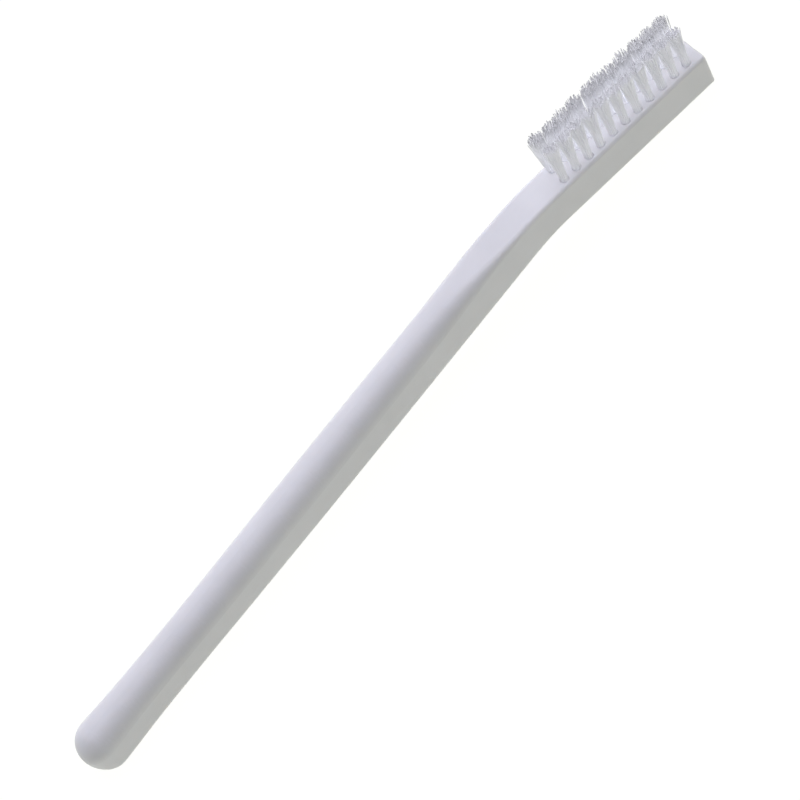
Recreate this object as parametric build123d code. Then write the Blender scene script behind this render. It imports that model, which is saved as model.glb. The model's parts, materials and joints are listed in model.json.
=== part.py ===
from build123d import *
import math
import os

os.makedirs("parts", exist_ok=True)

# Narrow-headed toothbrush, one-piece white handle, head angled back from the bristle side.
# Working frame of this source: x runs along the handle from butt to neck, z = 0 is the flat back
# of the neck, +z is the bristle side.  The finished solids are then laid down on their back.
# All lengths in millimetres, angles in degrees.

# ---- overall layout -------------------------------------------------------------------------
NECK_BACK_X = 114.0          # where the back of the handle and the back of the head would meet
HEAD_LENGTH = 37.1           # from that meeting line to the square tip, along the back
HEAD_ANGLE = 13.1            # head angled back from the handle axis
BEND_RADIUS = 35.0           # bend radius measured on the back line

# ---- head -----------------------------------------------------------------------------------
HEAD_WIDTH = 6.2
HEAD_THICK = 7.2
TOP_EDGE_R = 0.65            # rounding of the bristle-side edges of neck and head
BACK_EDGE_R = 0.30           # rounding of the back edges, nearly sharp
TIP_EDGE_R = 0.30            # softening all round the square tip
TIP_EDGE_SHARE = 0.3         # where the two flats of that softening meet

# ---- handle ---------------------------------------------------------------------------------
# The handle has a flat back, upright sides and a fully rounded bristle side.
BUTT_LENGTH = 4.3            # length of the rounded butt
BUTT_CENTRE_Z = 3.3          # the butt closes towards this height
HANDLE_BACK_R = 0.30
FIRST_SECTION = 0.02         # the loft's sections start here, close together,
FIRST_STEP = 0.08            # and spread out along the handle
STEP_GROWTH = 1.25
LAST_STEP = 3.3

# position along the back line from the butt to the head,
# half width, thickness, radius of the bristle-side rounding
HANDLE_STATIONS = [
    (4.3, 3.78, 8.41, 3.70),
    (7.6, 3.69, 8.33, 3.61),
    (11.0, 3.55, 8.23, 3.47),
    (14.5, 3.46, 8.14, 3.38),
    (19.0, 3.41, 8.05, 3.33),
    (27.0, 3.40, 7.98, 3.32),
    (36.0, 3.44, 8.05, 3.36),
    (47.0, 3.46, 8.26, 3.38),
    (59.0, 3.45, 8.47, 3.37),
    (70.0, 3.40, 8.62, 3.32),
    (80.0, 3.33, 8.70, 3.22),
    (88.0, 3.27, 8.70, 3.02),
    (94.0, 3.23, 8.60, 2.60),
    (98.5, 3.20, 8.44, 2.05),
    (102.5, 3.16, 8.18, 1.45),
    (106.5, 3.13, 7.86, 1.00),
    (110.0, 3.11, 7.55, 0.80),
    (114.0, 3.10, 7.30, 0.69),
    (118.0, 3.10, 7.20, 0.65),
]

# ---- tufts ----------------------------------------------------------------------------------
ROWS = 11                    # along the head
COLUMNS = (-1, 1)            # near and far side of the centre line
ROW_PITCH = 2.784
FIRST_ROW = 6.37             # from the back meeting line to the first row
COLUMN_PITCH = 2.97
HOLE_R = 0.80
HOLE_DEPTH = 4.0
HOLE_CONE = 0.36             # drill-point height at the bottom of each hole
HOLE_POINT_R = 0.22          # blunt end of that drill point
CUT_CLEAR = 1.0              # cutting shapes reach this far past the face that they cut
TUFT_R = 0.75                # bundle inside the hole
TUFT_TIP_R = 1.22            # bundle at the trimmed ends
TUFT_HEIGHT = 9.2            # above the face of the head
TUFT_FLARE_START = 0.6       # the bundle stays round and tight this far above the face
TUFT_RIM = 0.25              # softened rim of the trimmed end
TUFT_FLOOR_GAP = 0.15        # bundle clear of the hole bottom

# ---- anchors --------------------------------------------------------------------------------
ANCHOR_LENGTH = 1.90         # along the head, longer than the hole so that it bites the walls
ANCHOR_HEIGHT = 1.40
ANCHOR_THICK = 0.28
ANCHOR_DEPTH = 3.45          # lower edge of the anchor below the face of the head
ANCHOR_GAP = 0.06            # fold of the bundle clear of the anchor

BEND_TANGENT = BEND_RADIUS * math.tan(math.radians(HEAD_ANGLE) / 2)
BEND_START = NECK_BACK_X - BEND_TANGENT
BEND_END = BEND_START + BEND_RADIUS * math.radians(HEAD_ANGLE)
STRAIGHT_HEAD = HEAD_LENGTH - BEND_TANGENT


def spine_plane(q):
    """Section plane at distance q along the back line, x_dir = brush y, y_dir = brush z."""
    if q <= BEND_START:
        x, z, turn = q, 0.0, 0.0
    elif q <= BEND_END:
        turn = (q - BEND_START) / BEND_RADIUS
        x = BEND_START + BEND_RADIUS * math.sin(turn)
        z = -BEND_RADIUS * (1 - math.cos(turn))
    else:
        turn = math.radians(HEAD_ANGLE)
        run = q - BEND_END
        x = BEND_START + BEND_RADIUS * math.sin(turn) + run * math.cos(turn)
        z = -BEND_RADIUS * (1 - math.cos(turn)) - run * math.sin(turn)
    return Plane(
        origin=(x, 0, z),
        x_dir=(0, 1, 0),
        z_dir=(math.cos(turn), 0, -math.sin(turn)),
    )


def eight_edge_wire(plane, joints, middles):
    """Closed wire of eight edges: an arc through middles[i], or a straight edge where it is None."""
    edges = []
    count = len(joints)
    for i in range(count):
        start = plane.from_local_coords(joints[i])
        end = plane.from_local_coords(joints[(i + 1) % count])
        if middles[i] is None:
            edges.append(Edge.make_line(start, end))
        else:
            middle = plane.from_local_coords(middles[i])
            edges.append(Edge.make_three_point_arc(start, middle, end))
    return Wire(edges)


def square_wire(q, half_w, half_h, centre_z, top_r, back_r):
    """Section as a rounded rectangle: half sizes, height of its centre and corner radii."""
    corners = [
        (1, 1, top_r),
        (-1, 1, top_r),
        (-1, -1, back_r),
        (1, -1, back_r),
    ]
    joints = []
    middles = []
    previous = corners[-1]
    for number, corner in enumerate(corners):
        upright = number % 2 == 0
        joints.append(corner_end(previous, half_w, half_h, centre_z, upright))
        joints.append(corner_end(corner, half_w, half_h, centre_z, upright))
        sy, sz, r = corner
        cut = r * (1 - math.sqrt(0.5))
        middles.append(None)
        middles.append((sy * (half_w - cut), centre_z + sz * (half_h - cut), 0))
        previous = corner
    return eight_edge_wire(spine_plane(q), joints, middles)


def corner_end(corner, half_w, half_h, centre_z, upright):
    """Where a corner rounding meets the upright side or the level side of the section."""
    sy, sz, r = corner
    if upright:
        return (sy * half_w, centre_z + sz * (half_h - r), 0)
    return (sy * (half_w - r), centre_z + sz * half_h, 0)


def head_wire(q, inset=0.0):
    """Section of the straight head, optionally shrunk for the softened tip."""
    return square_wire(
        q,
        HEAD_WIDTH / 2 - inset,
        HEAD_THICK / 2 - inset,
        HEAD_THICK / 2,
        TOP_EDGE_R,
        BACK_EDGE_R,
    )


def head_location(along, across, above):
    """Point on the head: along from the back meeting line, across, above the head's face."""
    turn = math.radians(HEAD_ANGLE)
    up = HEAD_THICK + above
    x = NECK_BACK_X + along * math.cos(turn) + up * math.sin(turn)
    z = -along * math.sin(turn) + up * math.cos(turn)
    return Location((x, across, z), (0, HEAD_ANGLE, 0))


def tuft_places():
    """Row number, column sign and position of every tuft."""
    places = []
    for row in range(ROWS):
        for side in COLUMNS:
            along = FIRST_ROW + row * ROW_PITCH
            places.append((row + 1, side, along, side * COLUMN_PITCH / 2))
    return places


def smooth_value(q, column):
    """Smooth curve through one column of the handle stations, evaluated at q."""
    points = [(row[0], row[column]) for row in HANDLE_STATIONS]
    slopes = [0.0]
    for i in range(1, len(points) - 1):
        rise = points[i + 1][1] - points[i - 1][1]
        slopes.append(rise / (points[i + 1][0] - points[i - 1][0]))
    slopes.append(0.0)
    i = 0
    while i < len(points) - 2 and q > points[i + 1][0]:
        i += 1
    (q0, v0), (q1, v1) = points[i], points[i + 1]
    span = q1 - q0
    t = (q - q0) / span
    start = v0 * (2 * t**3 - 3 * t**2 + 1) + slopes[i] * span * (t**3 - 2 * t**2 + t)
    end = v1 * (3 * t**2 - 2 * t**3) + slopes[i + 1] * span * (t**3 - t**2)
    return start + end


def butt_wire(q):
    """Section of the rounded butt: the first handle section drawn in like an ellipse."""
    full_w, full_h, full_r = HANDLE_STATIONS[0][1:]
    scale = math.sqrt(1 - (1 - q / BUTT_LENGTH) ** 2)
    height = full_h * scale
    centre = BUTT_CENTRE_Z + (full_h / 2 - BUTT_CENTRE_Z) * scale
    back_r = HANDLE_BACK_R * (2 - scale) * min(1, 2 * scale)
    return square_wire(q, full_w * scale, height / 2, centre, full_r * scale, back_r)


def bar_wire(q):
    """Section of the handle: flat back, upright sides, rounded bristle side."""
    half_h = smooth_value(q, 2) / 2
    return square_wire(q, smooth_value(q, 1), half_h, half_h, smooth_value(q, 3), HANDLE_BACK_R)


def handle_bar():
    """Butt, handle and bent neck, turning into the square-edged head."""
    wires = []
    q = FIRST_SECTION
    step = FIRST_STEP
    while q < BEND_END - LAST_STEP / 2:
        wires.append(butt_wire(q) if q < BUTT_LENGTH else bar_wire(q))
        q += step
        step = min(step * STEP_GROWTH, LAST_STEP)
    wires.append(head_wire(BEND_END))
    return Solid.make_loft(wires, ruled=False)


def head_solid():
    """Straight head with its square, slightly softened tip."""
    end = BEND_END + STRAIGHT_HEAD
    bar = Solid.make_loft([head_wire(BEND_END), head_wire(end - TIP_EDGE_R)], ruled=True)
    tip = Solid.make_loft(
        [
            head_wire(end - TIP_EDGE_R),
            head_wire(end - TIP_EDGE_R * TIP_EDGE_SHARE, TIP_EDGE_R * TIP_EDGE_SHARE),
            head_wire(end, TIP_EDGE_R),
        ],
        ruled=True,
    )
    return bar + tip


def handle_blank():
    """Butt, handle, neck and head as one bar."""
    return handle_bar() + head_solid()


def anchor_solid(along, across):
    """Flat metal anchor that pins one folded bundle at the bottom of its hole."""
    place = head_location(along, across, -ANCHOR_DEPTH + ANCHOR_HEIGHT / 2)
    return Box(ANCHOR_LENGTH, ANCHOR_THICK, ANCHOR_HEIGHT).moved(place)


def stacked(shape, base, height):
    """Stand a centred primitive of the given height on the level base."""
    return shape.moved(Location((0, 0, base + height / 2)))


def hole_solid(along, across):
    """Blind round hole with a drill-point bottom."""
    flat = HOLE_DEPTH - HOLE_CONE
    shaft = stacked(Cylinder(HOLE_R, flat + CUT_CLEAR), -flat, flat + CUT_CLEAR)
    point = stacked(Cone(HOLE_POINT_R, HOLE_R, HOLE_CONE), -HOLE_DEPTH, HOLE_CONE)
    return (shaft + point).moved(head_location(along, across, 0))


def handle_solid():
    """The moulding with its tuft holes and the seats that the anchors bite into."""
    holes = []
    seats = []
    for row, side, along, across in tuft_places():
        holes.append(hole_solid(along, across))
        seats.append(anchor_solid(along, across))
    return (handle_blank() - holes) - seats


def tuft_solid(along, across):
    """One bundle: tight in the hole, flaring a little to a trimmed end with a soft rim."""
    bottom = -(HOLE_DEPTH - HOLE_CONE) + TUFT_FLOOR_GAP
    shaft_height = TUFT_FLARE_START - bottom
    flare_height = TUFT_HEIGHT - TUFT_RIM - TUFT_FLARE_START
    shaft = stacked(Cylinder(TUFT_R, shaft_height), bottom, shaft_height)
    flare = stacked(Cone(TUFT_R, TUFT_TIP_R, flare_height), TUFT_FLARE_START, flare_height)
    rim = stacked(Cone(TUFT_TIP_R, TUFT_TIP_R - TUFT_RIM, TUFT_RIM), TUFT_HEIGHT - TUFT_RIM, TUFT_RIM)
    notch_top = -ANCHOR_DEPTH + ANCHOR_HEIGHT + ANCHOR_GAP
    notch_base = bottom - CUT_CLEAR
    notch_height = notch_top - notch_base
    notch = stacked(
        Box(ANCHOR_LENGTH + CUT_CLEAR, ANCHOR_THICK + 2 * ANCHOR_GAP, notch_height),
        notch_base,
        notch_height,
    )
    bundle = shaft + flare + rim
    return (bundle - notch).moved(head_location(along, across, 0))


def rest_placement():
    """Lay the brush on its back, so that the butt end of the back and the tip edge are level."""
    turn = math.radians(HEAD_ANGLE)
    tip_x = NECK_BACK_X + HEAD_LENGTH * math.cos(turn)
    tip_z = -HEAD_LENGTH * math.sin(turn)
    slope = math.atan2(tip_z, tip_x - BUTT_LENGTH)
    return Location((0, 0, 0), (0, math.degrees(slope), 0))


def centring(shapes):
    """Shift that puts the bottom centre of the overall box on the origin."""
    boxes = [shape.bounding_box() for shape in shapes]
    low_x = min(box.min.X for box in boxes)
    high_x = max(box.max.X for box in boxes)
    low_z = min(box.min.Z for box in boxes)
    return Location((-(low_x + high_x) / 2, 0, -low_z))


def main():
    pieces = {"handle": handle_solid()}
    anchors = []
    for row, side, along, across in tuft_places():
        letter = "a" if side < 0 else "b"
        pieces[f"tuft_{letter}{row:02d}"] = tuft_solid(along, across)
        anchors.append(anchor_solid(along, across))
    pieces["anchors"] = Compound(anchors)

    laid = rest_placement()
    placed = {name: laid * shape for name, shape in pieces.items()}
    shift = centring(placed.values())
    for name, shape in placed.items():
        export_step(shift * shape, f"parts/{name}.step")


main()
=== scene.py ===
import json
import math
import random

import bpy
from mathutils import Matrix, Vector


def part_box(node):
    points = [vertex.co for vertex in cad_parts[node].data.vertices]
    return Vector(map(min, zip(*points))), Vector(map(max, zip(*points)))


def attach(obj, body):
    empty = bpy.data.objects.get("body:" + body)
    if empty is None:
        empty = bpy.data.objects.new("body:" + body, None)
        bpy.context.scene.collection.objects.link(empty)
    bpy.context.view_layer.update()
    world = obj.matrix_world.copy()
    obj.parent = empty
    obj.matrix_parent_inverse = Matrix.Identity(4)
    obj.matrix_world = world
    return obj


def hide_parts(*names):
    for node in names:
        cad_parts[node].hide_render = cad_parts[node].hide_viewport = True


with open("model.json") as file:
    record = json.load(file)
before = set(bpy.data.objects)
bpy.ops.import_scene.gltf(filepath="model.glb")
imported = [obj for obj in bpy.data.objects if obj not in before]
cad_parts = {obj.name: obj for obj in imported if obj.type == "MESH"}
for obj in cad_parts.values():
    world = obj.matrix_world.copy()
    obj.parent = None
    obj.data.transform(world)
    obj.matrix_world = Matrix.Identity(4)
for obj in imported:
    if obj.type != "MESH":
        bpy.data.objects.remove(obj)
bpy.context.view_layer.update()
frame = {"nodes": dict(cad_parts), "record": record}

# White one-piece toothbrush with two columns of nylon tufts, lying on its back.
# Lengths are in metres unless a name ends in _MM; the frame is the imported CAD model's.

MM = 0.001

# ---- camera -----------------------------------------------------------------------------------
CAMERA_PLACE = (-0.050859, -0.650918, 1.014962)
CAMERA_TURN_DEG = (24.5376, 22.555, -44.6552)
CAMERA_LENS_MM = 334.69
CAMERA_SENSOR_MM = 36.0
CAMERA_NEAREST = 0.01
CAMERA_FARTHEST = 50.0

# ---- stage ------------------------------------------------------------------------------------
FLOOR_GAP = 0.05 * MM            # the floor lies this far under the brush
FLOOR_RADIUS = 5.0
FLOOR_INNER_RADIUS = 0.4         # first ring of faces round the middle
FLOOR_RIM_RADIUS = 0.25          # of the rim that curves up all round
FLOOR_RIM_STEPS = 12
FLOOR_STEPS = 96
FLOOR_GLOW = (0.985, 0.995, 0.965, 1)
FLOOR_COLOUR = (0.05, 0.05, 0.05, 1)

# ---- light ------------------------------------------------------------------------------------
KEY_ELEVATION_DEG = 110.0        # from the viewer's side, so over the top and a little behind
KEY_TURN_DEG = 8.0               # towards the head
KEY_DISTANCE = 0.80
KEY_SIZE = 1.00
KEY_POWER = 7.9
KEY_THROUGH = 0.46               # share of that power which the translucent nylon lets past
KEY_COLOUR = (0.94, 0.93, 1.08)
SKY_COLOUR = (0.95, 0.98, 1.0, 1)
SKY_STRENGTH = 0.14

LIGHT_BOUNCES = 32               # light passes from filament to filament many times

# ---- tufts, as the CAD model has them ---------------------------------------------------------
ROWS = 11
TUFT_HEIGHT = 9.2 * MM           # above the face of the head
TUFT_TIP_R = 1.22 * MM
TUFT_RIM = 0.25 * MM
HOLE_R = 0.80 * MM
ANCHOR_HALF = 0.14 * MM          # half the thickness of the wire anchor
BUNDLE_DEPTH = 3.30 * MM         # how far the filaments reach into the hole

# ---- filaments --------------------------------------------------------------------------------
FILAMENT_R = 0.088 * MM
FILAMENTS = 74                   # ends standing up from each hole, two for each folded filament
FILAMENT_SIDES = 8
BUNDLE_CLEARANCE = 0.02 * MM     # between the bundle and the wall of its hole
BUNDLE_R = HOLE_R - FILAMENT_R - BUNDLE_CLEARANCE
SEED = 4127
GOLDEN_ANGLE = math.pi * (3 - math.sqrt(5))
ANGLE_JITTER = 0.12              # radians, in the packing of the bundle
TRIM_JITTER = (-0.22 * MM, 0.04 * MM)
WANDER = 0.10 * MM               # how far a filament's end strays from its place
SQUEEZE_ACROSS = 0.25            # the anchor presses a bundle this much narrower across the head
KEPT_ALONG = 0.95                # share of its width along the head that it keeps in the hole

# Depth of the centre line's points in the hole, and how firmly the anchor holds them there.
HELD_POINTS = ((-BUNDLE_DEPTH, 1.0), (-1.9 * MM, 0.9), (-0.8 * MM, 0.0))
# Places of its points above the face, as shares of the filament's length.
FREE_POINTS = (0.0, 0.12, 0.26, 0.42, 0.58, 0.74, 0.88, 1.0)
# Domed end of a filament: push along it and width there, as shares of its radius.
TIP_RINGS = ((0.45, 0.82), (0.72, 0.45))

# Splay grows with a power of the height: a near bundle stays tight low down and opens near its
# end, and a far bundle opens from the root up.
NEAR_FLARE_POWER = 2.1
FAR_FLARE_POWER = 0.62
BEND_POWER = 1.8

# How far each tuft's trimmed end leans along the head and across it, and how much it splays.
NEAR_LEAN_MM = (0.0, 0.05, -0.05, 0.05, 0.0, 0.05, -0.05, 0.0, 0.05, 0.0, -0.1)
NEAR_OUT_MM = (0.0,) * ROWS
NEAR_FLARE = (2.05,) * ROWS
FAR_LEAN_MM = (-0.2, 0.1, -0.1, 0.15, 0.5, -0.1, -0.5, -0.15, 0.0, 0.0, 0.05)
FAR_OUT_MM = (0.45, 0.25, 0.4, 0.65, 0.5, 0.7, 0.35, 0.6, 0.5, 0.4, 0.35)
FAR_FLARE = (2.35, 2.25, 2.3, 2.2, 2.1, 2.25, 2.3, 2.3, 2.3, 2.3, 2.2)
FLARE_ACROSS = 0.6               # share of that splay across the head

# ---- surfaces ---------------------------------------------------------------------------------
# A noise is its scale, detail and roughness; tints are colours at two levels of a noise.
NOISE_MIDDLE = (0.3, 0.7)        # the levels between which nearly all of a noise lies
MIX_FACTOR = 0                   # colour sockets of a mix node share their names with others,
MIX_COLOUR_A = 6                 # so they are found by number
MIX_COLOUR_B = 7
MIX_RESULT = 2

HANDLE_MOTTLE = (90.0, 3.0, 0.6)
HANDLE_TINTS = ((0.35, (0.690, 0.690, 0.684)), (0.65, (0.715, 0.715, 0.709)))
HANDLE_GRAIN = (2600.0, 4.0, 0.6)
HANDLE_GRAIN_DEPTH = 0.006 * MM
HANDLE_WAVES = (160.0, 2.0, 0.5)
HANDLE_WAVE_DEPTH = 0.04 * MM
HANDLE_ROUGHNESS = (0.40, 0.52)

NYLON_STRANDS = (2500.0, 2.0, 0.5)
NYLON_STRETCH = 0.06             # strands are drawn out along the bristles
NYLON_TINTS = ((0.3, (0.965, 0.97, 0.975)), (0.7, (0.99, 0.99, 0.99)))
NYLON_ROUGHNESS = (0.35, 0.5)

BRASS_LINES = (9000.0, 3.0, 0.6)
BRASS_STRETCH = 0.05             # drawing lines run along the wire
BRASS_LINE_DEPTH = 0.008 * MM
BRASS_TINTS = ((0.3, (0.62, 0.47, 0.22)), (0.7, (0.80, 0.63, 0.33)))
BRASS_ROUGHNESS = (0.28, 0.42)

# Share of the nylon's colour kept from the root (0) to the trimmed end (1), as painted light and
# shade: painted shade darkens the trimmed ends, and the near column is painted darker than the
# far one.
NEAR_PAINTED_SHADING = (
    (0.0, (0.955, 0.955, 0.955)),
    (0.2, (0.925, 0.925, 0.925)),
    (0.5, (0.895, 0.895, 0.895)),
    (0.7, (0.872, 0.872, 0.872)),
    (0.92, (0.880, 0.880, 0.877)),
    (1.0, (0.80, 0.80, 0.79)),
)
FAR_PAINTED_SHADING = (
    (0.0, (1.0, 1.0, 1.0)),
    (0.55, (0.985, 0.985, 0.985)),
    (0.75, (0.962, 0.962, 0.96)),
    (0.88, (0.905, 0.905, 0.90)),
    (1.0, (0.69, 0.69, 0.675)),
)

axis_up = -Vector(frame["record"]["mounts"][0]["axis"])       # the way the bristles point
axis_along = Vector((axis_up.z, 0, -axis_up.x))                # along the head, to the tip
axis_across = Vector((0, 1, 0))


def tuft_tip(node):
    """Middle of the trimmed end of a CAD tuft, worked out from its box."""
    low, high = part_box(node)
    x = high.x - TUFT_TIP_R * axis_up.z + TUFT_RIM * axis_up.x
    z = high.z - (TUFT_TIP_R - TUFT_RIM) * axis_up.x
    return Vector((x, (low.y + high.y) / 2, z))


face_height = tuft_tip("tuft_a01").dot(axis_up) - TUFT_HEIGHT


def principled(name):
    """New node material: its nodes, its links and its shader."""
    material = bpy.data.materials.new(name)
    material.use_nodes = True
    nodes = material.node_tree.nodes
    return material, nodes, material.node_tree.links, nodes["Principled BSDF"]


def noise(nodes, links, vector, kind):
    """Noise texture on the given coordinates."""
    texture = nodes.new("ShaderNodeTexNoise")
    for socket, value in zip(("Scale", "Detail", "Roughness"), kind):
        texture.inputs[socket].default_value = value
    links.new(vector, texture.inputs["Vector"])
    return texture.outputs["Fac"]


def ramp(nodes, links, fac, stops):
    """Colour ramp through (position, colour) stops."""
    node = nodes.new("ShaderNodeValToRGB")
    elements = node.color_ramp.elements
    while len(elements) < len(stops):
        elements.new(0.5)        # goes to its own position below
    for element, (position, colour) in zip(elements, stops):
        element.position = position
        element.color = (*colour, 1)
    links.new(fac, node.inputs["Fac"])
    return node.outputs["Color"]


def spread(nodes, links, fac, values):
    """Map the middle of a noise to a range of values."""
    node = nodes.new("ShaderNodeMapRange")
    node.inputs["From Min"].default_value = NOISE_MIDDLE[0]
    node.inputs["From Max"].default_value = NOISE_MIDDLE[1]
    node.inputs["To Min"].default_value = values[0]
    node.inputs["To Max"].default_value = values[1]
    links.new(fac, node.inputs["Value"])
    return node.outputs["Result"]


def bump(nodes, links, height, distance, normal=None):
    """Bump of a given depth on a height from 0 to 1."""
    node = nodes.new("ShaderNodeBump")
    node.inputs["Strength"].default_value = 1.0
    node.inputs["Distance"].default_value = distance
    links.new(height, node.inputs["Height"])
    if normal is not None:
        links.new(normal, node.inputs["Normal"])
    return node.outputs["Normal"]


def multiplied(nodes, links, first, second):
    """Product of two colours."""
    node = nodes.new("ShaderNodeMix")
    node.data_type = "RGBA"
    node.blend_type = "MULTIPLY"
    node.inputs[MIX_FACTOR].default_value = 1.0
    links.new(first, node.inputs[MIX_COLOUR_A])
    links.new(second, node.inputs[MIX_COLOUR_B])
    return node.outputs[MIX_RESULT]


def height_over_face(nodes, links, place):
    """Height above the face of the head, which the bristles stand on."""
    node = nodes.new("ShaderNodeVectorMath")
    node.operation = "DOT_PRODUCT"
    node.inputs[1].default_value = axis_up
    links.new(place, node.inputs[0])
    shift = nodes.new("ShaderNodeMath")
    shift.operation = "SUBTRACT"
    shift.inputs[1].default_value = face_height
    links.new(node.outputs["Value"], shift.inputs[0])
    return shift.outputs["Value"]


def handle_material():
    """Satin white polypropylene: faint mottling, shallow waves and a fine moulded grain."""
    material, nodes, links, shader = principled("white_polypropylene")
    place = nodes.new("ShaderNodeTexCoord").outputs["Object"]
    mottle = noise(nodes, links, place, HANDLE_MOTTLE)
    links.new(ramp(nodes, links, mottle, HANDLE_TINTS), shader.inputs["Base Color"])
    grain = noise(nodes, links, place, HANDLE_GRAIN)
    links.new(spread(nodes, links, grain, HANDLE_ROUGHNESS), shader.inputs["Roughness"])
    waves = noise(nodes, links, place, HANDLE_WAVES)
    wavy = bump(nodes, links, waves, HANDLE_WAVE_DEPTH)
    grained = bump(nodes, links, grain, HANDLE_GRAIN_DEPTH, wavy)
    links.new(grained, shader.inputs["Normal"])
    shader.inputs["IOR"].default_value = 1.49
    shader.inputs["Specular IOR Level"].default_value = 0.2
    shader.inputs["Subsurface Weight"].default_value = 1.0
    shader.inputs["Subsurface Radius"].default_value = (1.0, 0.95, 0.9)
    shader.inputs["Subsurface Scale"].default_value = 0.8 * MM
    return material


def filament_material(name, painted_shading_stops):
    """White nylon: filaments of slightly different whites, with painted shade that greys them
    towards their cut ends.
    """
    material, nodes, links, shader = principled(name)
    place = nodes.new("ShaderNodeTexCoord").outputs["Object"]
    stretch = nodes.new("ShaderNodeMapping")
    stretch.inputs["Rotation"].default_value = (0, -math.asin(axis_up.x), 0)
    stretch.inputs["Scale"].default_value = (1, 1, NYLON_STRETCH)
    links.new(place, stretch.inputs["Vector"])
    strands = noise(nodes, links, stretch.outputs["Vector"], NYLON_STRANDS)
    tint = ramp(nodes, links, strands, NYLON_TINTS)
    rise = nodes.new("ShaderNodeMapRange")
    rise.inputs["From Max"].default_value = TUFT_HEIGHT
    links.new(height_over_face(nodes, links, place), rise.inputs["Value"])
    # painted light and shade by height above the face, lighter at the roots and darker at the
    # trimmed ends
    painted_shade_by_height = ramp(nodes, links, rise.outputs["Result"], painted_shading_stops)
    links.new(multiplied(nodes, links, tint, painted_shade_by_height), shader.inputs["Base Color"])
    links.new(spread(nodes, links, strands, NYLON_ROUGHNESS), shader.inputs["Roughness"])
    shader.inputs["IOR"].default_value = 1.53
    shader.inputs["Specular IOR Level"].default_value = 0.4
    shader.inputs["Subsurface Weight"].default_value = 1.0
    shader.inputs["Subsurface Radius"].default_value = (1.0, 1.0, 1.0)
    shader.inputs["Subsurface Scale"].default_value = 0.4 * MM
    return material


def anchor_material():
    """Drawn brass wire, cut to length: lengthwise drawing lines."""
    material, nodes, links, shader = principled("brass_wire")
    place = nodes.new("ShaderNodeTexCoord").outputs["Object"]
    stretch = nodes.new("ShaderNodeMapping")
    stretch.inputs["Scale"].default_value = (BRASS_STRETCH, 1, 1)
    links.new(place, stretch.inputs["Vector"])
    lines = noise(nodes, links, stretch.outputs["Vector"], BRASS_LINES)
    links.new(ramp(nodes, links, lines, BRASS_TINTS), shader.inputs["Base Color"])
    links.new(spread(nodes, links, lines, BRASS_ROUGHNESS), shader.inputs["Roughness"])
    links.new(bump(nodes, links, lines, BRASS_LINE_DEPTH), shader.inputs["Normal"])
    shader.inputs["Metallic"].default_value = 1.0
    return material


def floor_material():
    """Bright white light-table surface."""
    material, nodes, links, shader = principled("stage_white")
    shader.inputs["Base Color"].default_value = FLOOR_COLOUR
    shader.inputs["Roughness"].default_value = 0.9
    shader.inputs["Specular IOR Level"].default_value = 0.0
    shader.inputs["Emission Color"].default_value = FLOOR_GLOW
    shader.inputs["Emission Strength"].default_value = 1.0
    return material


def add_bands(faces, first, bands, steps):
    """Add the faces between neighbouring rings of vertices."""
    for ring in range(bands):
        a = first + ring * steps
        b = a + steps
        for k in range(steps):
            k2 = (k + 1) % steps
            faces.append((a + k, b + k, b + k2, a + k2))


def disc_places(rng, count, radius):
    """Evenly packed, slightly disturbed places on a disc (sunflower order)."""
    places = []
    for i in range(count):
        r = radius * math.sqrt((i + 0.5) / count)
        angle = i * GOLDEN_ANGLE + rng.uniform(-ANGLE_JITTER, ANGLE_JITTER)
        places.append((r * math.cos(angle), r * math.sin(angle)))
    return places


def filament_line(rng, place, lean, flare, power):
    """Centre line of one filament in the tuft's own axes: along, across and above the face."""
    px, py = place
    length = TUFT_HEIGHT + rng.uniform(*TRIM_JITTER)
    wander = (rng.gauss(0, WANDER), rng.gauss(0, WANDER))
    side = 1 if py >= 0 else -1
    line = []
    for depth, hold in HELD_POINTS:
        y = side * (ANCHOR_HALF + FILAMENT_R) * hold + py * (1 - SQUEEZE_ACROSS * hold)
        line.append((px * KEPT_ALONG, y, depth))
    for t in FREE_POINTS:
        grow = (flare - 1) * t ** power
        bend = t ** BEND_POWER
        x = px * (1 + grow) + (lean[0] + wander[0]) * bend
        y = py * (1 + grow * FLARE_ACROSS) + (lean[1] + wander[1]) * bend
        line.append((x, y, t * length))
    return line


def tube(points, vertices, faces):
    """Add a closed round filament along the points, its trimmed end domed."""
    end = Vector(points[-1])
    push = (end - Vector(points[-2])).normalized() * FILAMENT_R
    rings = [(Vector(p), FILAMENT_R) for p in points]
    rings += [(end + push * along, FILAMENT_R * width) for along, width in TIP_RINGS]
    first = len(vertices)
    last = len(rings) - 1
    sides = range(FILAMENT_SIDES)
    for number, (centre, r) in enumerate(rings):
        before = rings[max(number - 1, 0)][0]
        after = rings[min(number + 1, last)][0]
        way = (after - before).normalized()
        u = way.cross(axis_across).normalized()
        v = way.cross(u)
        for k in sides:
            a = 2 * math.pi * k / FILAMENT_SIDES
            vertices.append(centre + (u * math.cos(a) + v * math.sin(a)) * r)
    add_bands(faces, first, last, FILAMENT_SIDES)
    faces.append(tuple(first + k for k in sides))
    faces.append(tuple(first + last * FILAMENT_SIDES + k for k in reversed(sides)))


def mesh_piece(name, vertices, faces, material):
    """Smooth mesh object of one material, put into the scene."""
    mesh = bpy.data.meshes.new(name)
    mesh.from_pydata(vertices, [], faces)
    mesh.polygons.foreach_set("use_smooth", [True] * len(mesh.polygons))
    mesh.materials.append(material)
    piece = bpy.data.objects.new(name, mesh)
    bpy.context.scene.collection.objects.link(piece)
    return piece


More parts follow.
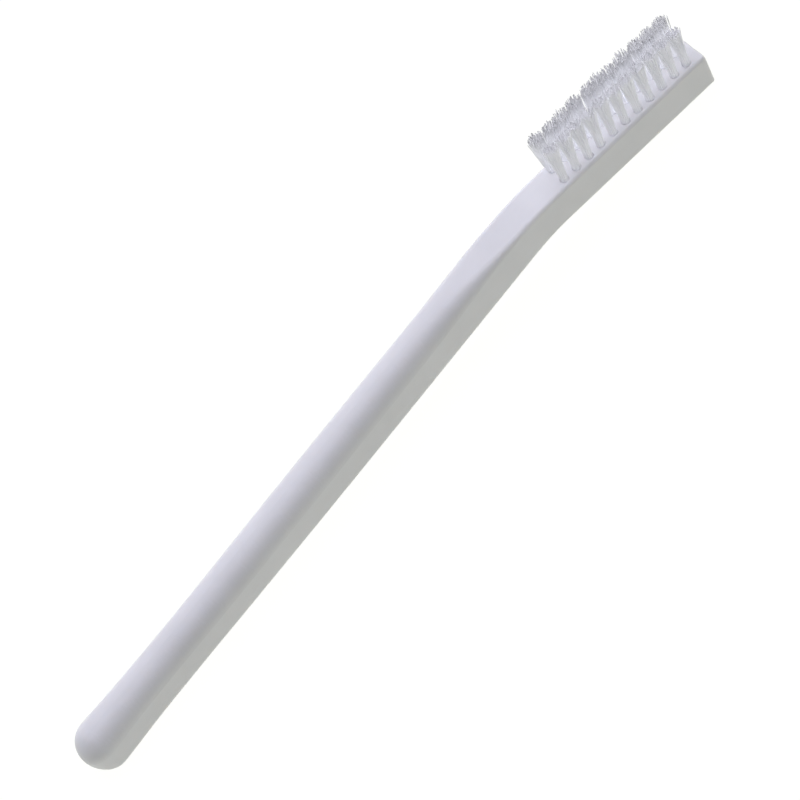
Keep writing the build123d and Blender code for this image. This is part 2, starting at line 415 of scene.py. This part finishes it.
def tuft_piece(name, number, lean, flare, power, material):
    """A bundle of separate filaments in place of one plain CAD tuft."""
    rng = random.Random(SEED + number)
    face_point = tuft_tip(name) - axis_up * TUFT_HEIGHT
    vertices = []
    faces = []
    for place in disc_places(rng, FILAMENTS, BUNDLE_R):
        tube(filament_line(rng, place, lean, flare, power), vertices, faces)
    to_frame = Matrix((axis_along, axis_across, axis_up)).transposed()
    vertices = [to_frame @ v + face_point for v in vertices]
    piece = mesh_piece(name + "_filaments", vertices, faces, material)
    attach(piece, "root")
    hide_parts(name)
    return piece


def build_tufts():
    """All twenty-two bundles."""
    # lit and shaded copies of the nylon: the near column gets more painted shade, the far column
    # painted light low down and painted shade at its ends
    near_nylon_painted_shading = filament_material("white_nylon_near_painted_shading", NEAR_PAINTED_SHADING)
    far_nylon_painted_shading = filament_material("white_nylon_far_painted_shading", FAR_PAINTED_SHADING)
    number = 0
    pieces = []
    for column, leans, outs, flares, power, nylon in (
        ("a", NEAR_LEAN_MM, NEAR_OUT_MM, NEAR_FLARE, NEAR_FLARE_POWER, near_nylon_painted_shading),
        ("b", FAR_LEAN_MM, FAR_OUT_MM, FAR_FLARE, FAR_FLARE_POWER, far_nylon_painted_shading),
    ):
        for row in range(ROWS):
            name = f"tuft_{column}{row + 1:02d}"
            number += 1
            lean = (leans[row] * MM, outs[row] * MM)
            pieces.append(tuft_piece(name, number, lean, flares[row], power, nylon))
    return pieces


def dress(node, material):
    """Give a kept CAD node its finished material."""
    mesh = frame["nodes"][node].data
    for index in range(len(mesh.materials)):
        mesh.materials[index] = material


def build_stage():
    """Wide round white floor whose rim curves up."""
    flat_radius = FLOOR_RADIUS - FLOOR_RIM_RADIUS
    rings = [(FLOOR_INNER_RADIUS, 0.0), (flat_radius, 0.0)]
    for k in range(1, FLOOR_RIM_STEPS + 1):
        a = math.radians(90 * k / FLOOR_RIM_STEPS)
        out = FLOOR_RIM_RADIUS * (1 - math.sin(a))
        rings.append((FLOOR_RADIUS - out, FLOOR_RIM_RADIUS * (1 - math.cos(a))))
    vertices = [(0, 0, -FLOOR_GAP)]
    for r, z in rings:
        for k in range(FLOOR_STEPS):
            a = 2 * math.pi * k / FLOOR_STEPS
            vertices.append((r * math.cos(a), r * math.sin(a), z - FLOOR_GAP))
    faces = [(0, 1 + k, 1 + (k + 1) % FLOOR_STEPS) for k in range(FLOOR_STEPS)]
    add_bands(faces, 1, len(rings) - 1, FLOOR_STEPS)
    stage = mesh_piece("stage", vertices, faces, floor_material())


def soft_light(name, power):
    """Broad disc light over the brush."""
    light = bpy.data.lights.new(name, "AREA")
    light.shape = "DISK"
    light.size = KEY_SIZE
    light.energy = power
    light.color = KEY_COLOUR
    lamp = bpy.data.objects.new(name, light)
    tilt = math.radians(KEY_ELEVATION_DEG)
    turn = math.radians(KEY_TURN_DEG)
    towards = Vector(
        (
            math.sin(turn),
            -math.cos(tilt) * math.cos(turn),
            math.sin(tilt) * math.cos(turn),
        )
    )
    lamp.location = towards * KEY_DISTANCE
    lamp.rotation_euler = towards.to_track_quat("Z", "Y").to_euler()
    bpy.context.scene.collection.objects.link(lamp)
    return lamp


def build_lights(tufts):
    """One broad soft light from above and behind, partly let through by the nylon, and a sky."""
    soft_light("key_light", KEY_POWER * (1 - KEY_THROUGH))
    through = soft_light("key_light_through_nylon", KEY_POWER * KEY_THROUGH)
    passed = bpy.data.collections.new("lets_light_past")
    for tuft in tufts:
        passed.objects.link(tuft)
    for item in passed.collection_objects:
        item.light_linking.link_state = "EXCLUDE"
    through.light_linking.blocker_collection = passed
    world = bpy.data.worlds.new("sky")
    world.use_nodes = True
    background = world.node_tree.nodes["Background"]
    background.inputs["Color"].default_value = SKY_COLOUR
    background.inputs["Strength"].default_value = SKY_STRENGTH
    bpy.context.scene.world = world


def build_camera():
    """Long-lens camera above the brush, turned so that the brush runs up to the right."""
    data = bpy.data.cameras.new("camera")
    data.lens = CAMERA_LENS_MM
    data.sensor_width = CAMERA_SENSOR_MM
    data.clip_start = CAMERA_NEAREST
    data.clip_end = CAMERA_FARTHEST
    camera = bpy.data.objects.new("camera", data)
    camera.location = CAMERA_PLACE
    camera.rotation_euler = [math.radians(a) for a in CAMERA_TURN_DEG]
    bpy.context.scene.collection.objects.link(camera)
    bpy.context.scene.camera = camera


build_camera()
build_stage()
build_lights(build_tufts())
dress("handle", handle_material())
dress("anchors", anchor_material())

cycles = bpy.context.scene.cycles
cycles.max_bounces = LIGHT_BOUNCES
cycles.diffuse_bounces = LIGHT_BOUNCES
cycles.glossy_bounces = LIGHT_BOUNCES
cycles.transmission_bounces = LIGHT_BOUNCES
view_settings = bpy.context.scene.view_settings
view_settings.view_transform = "Standard"
view_settings.look = "None"
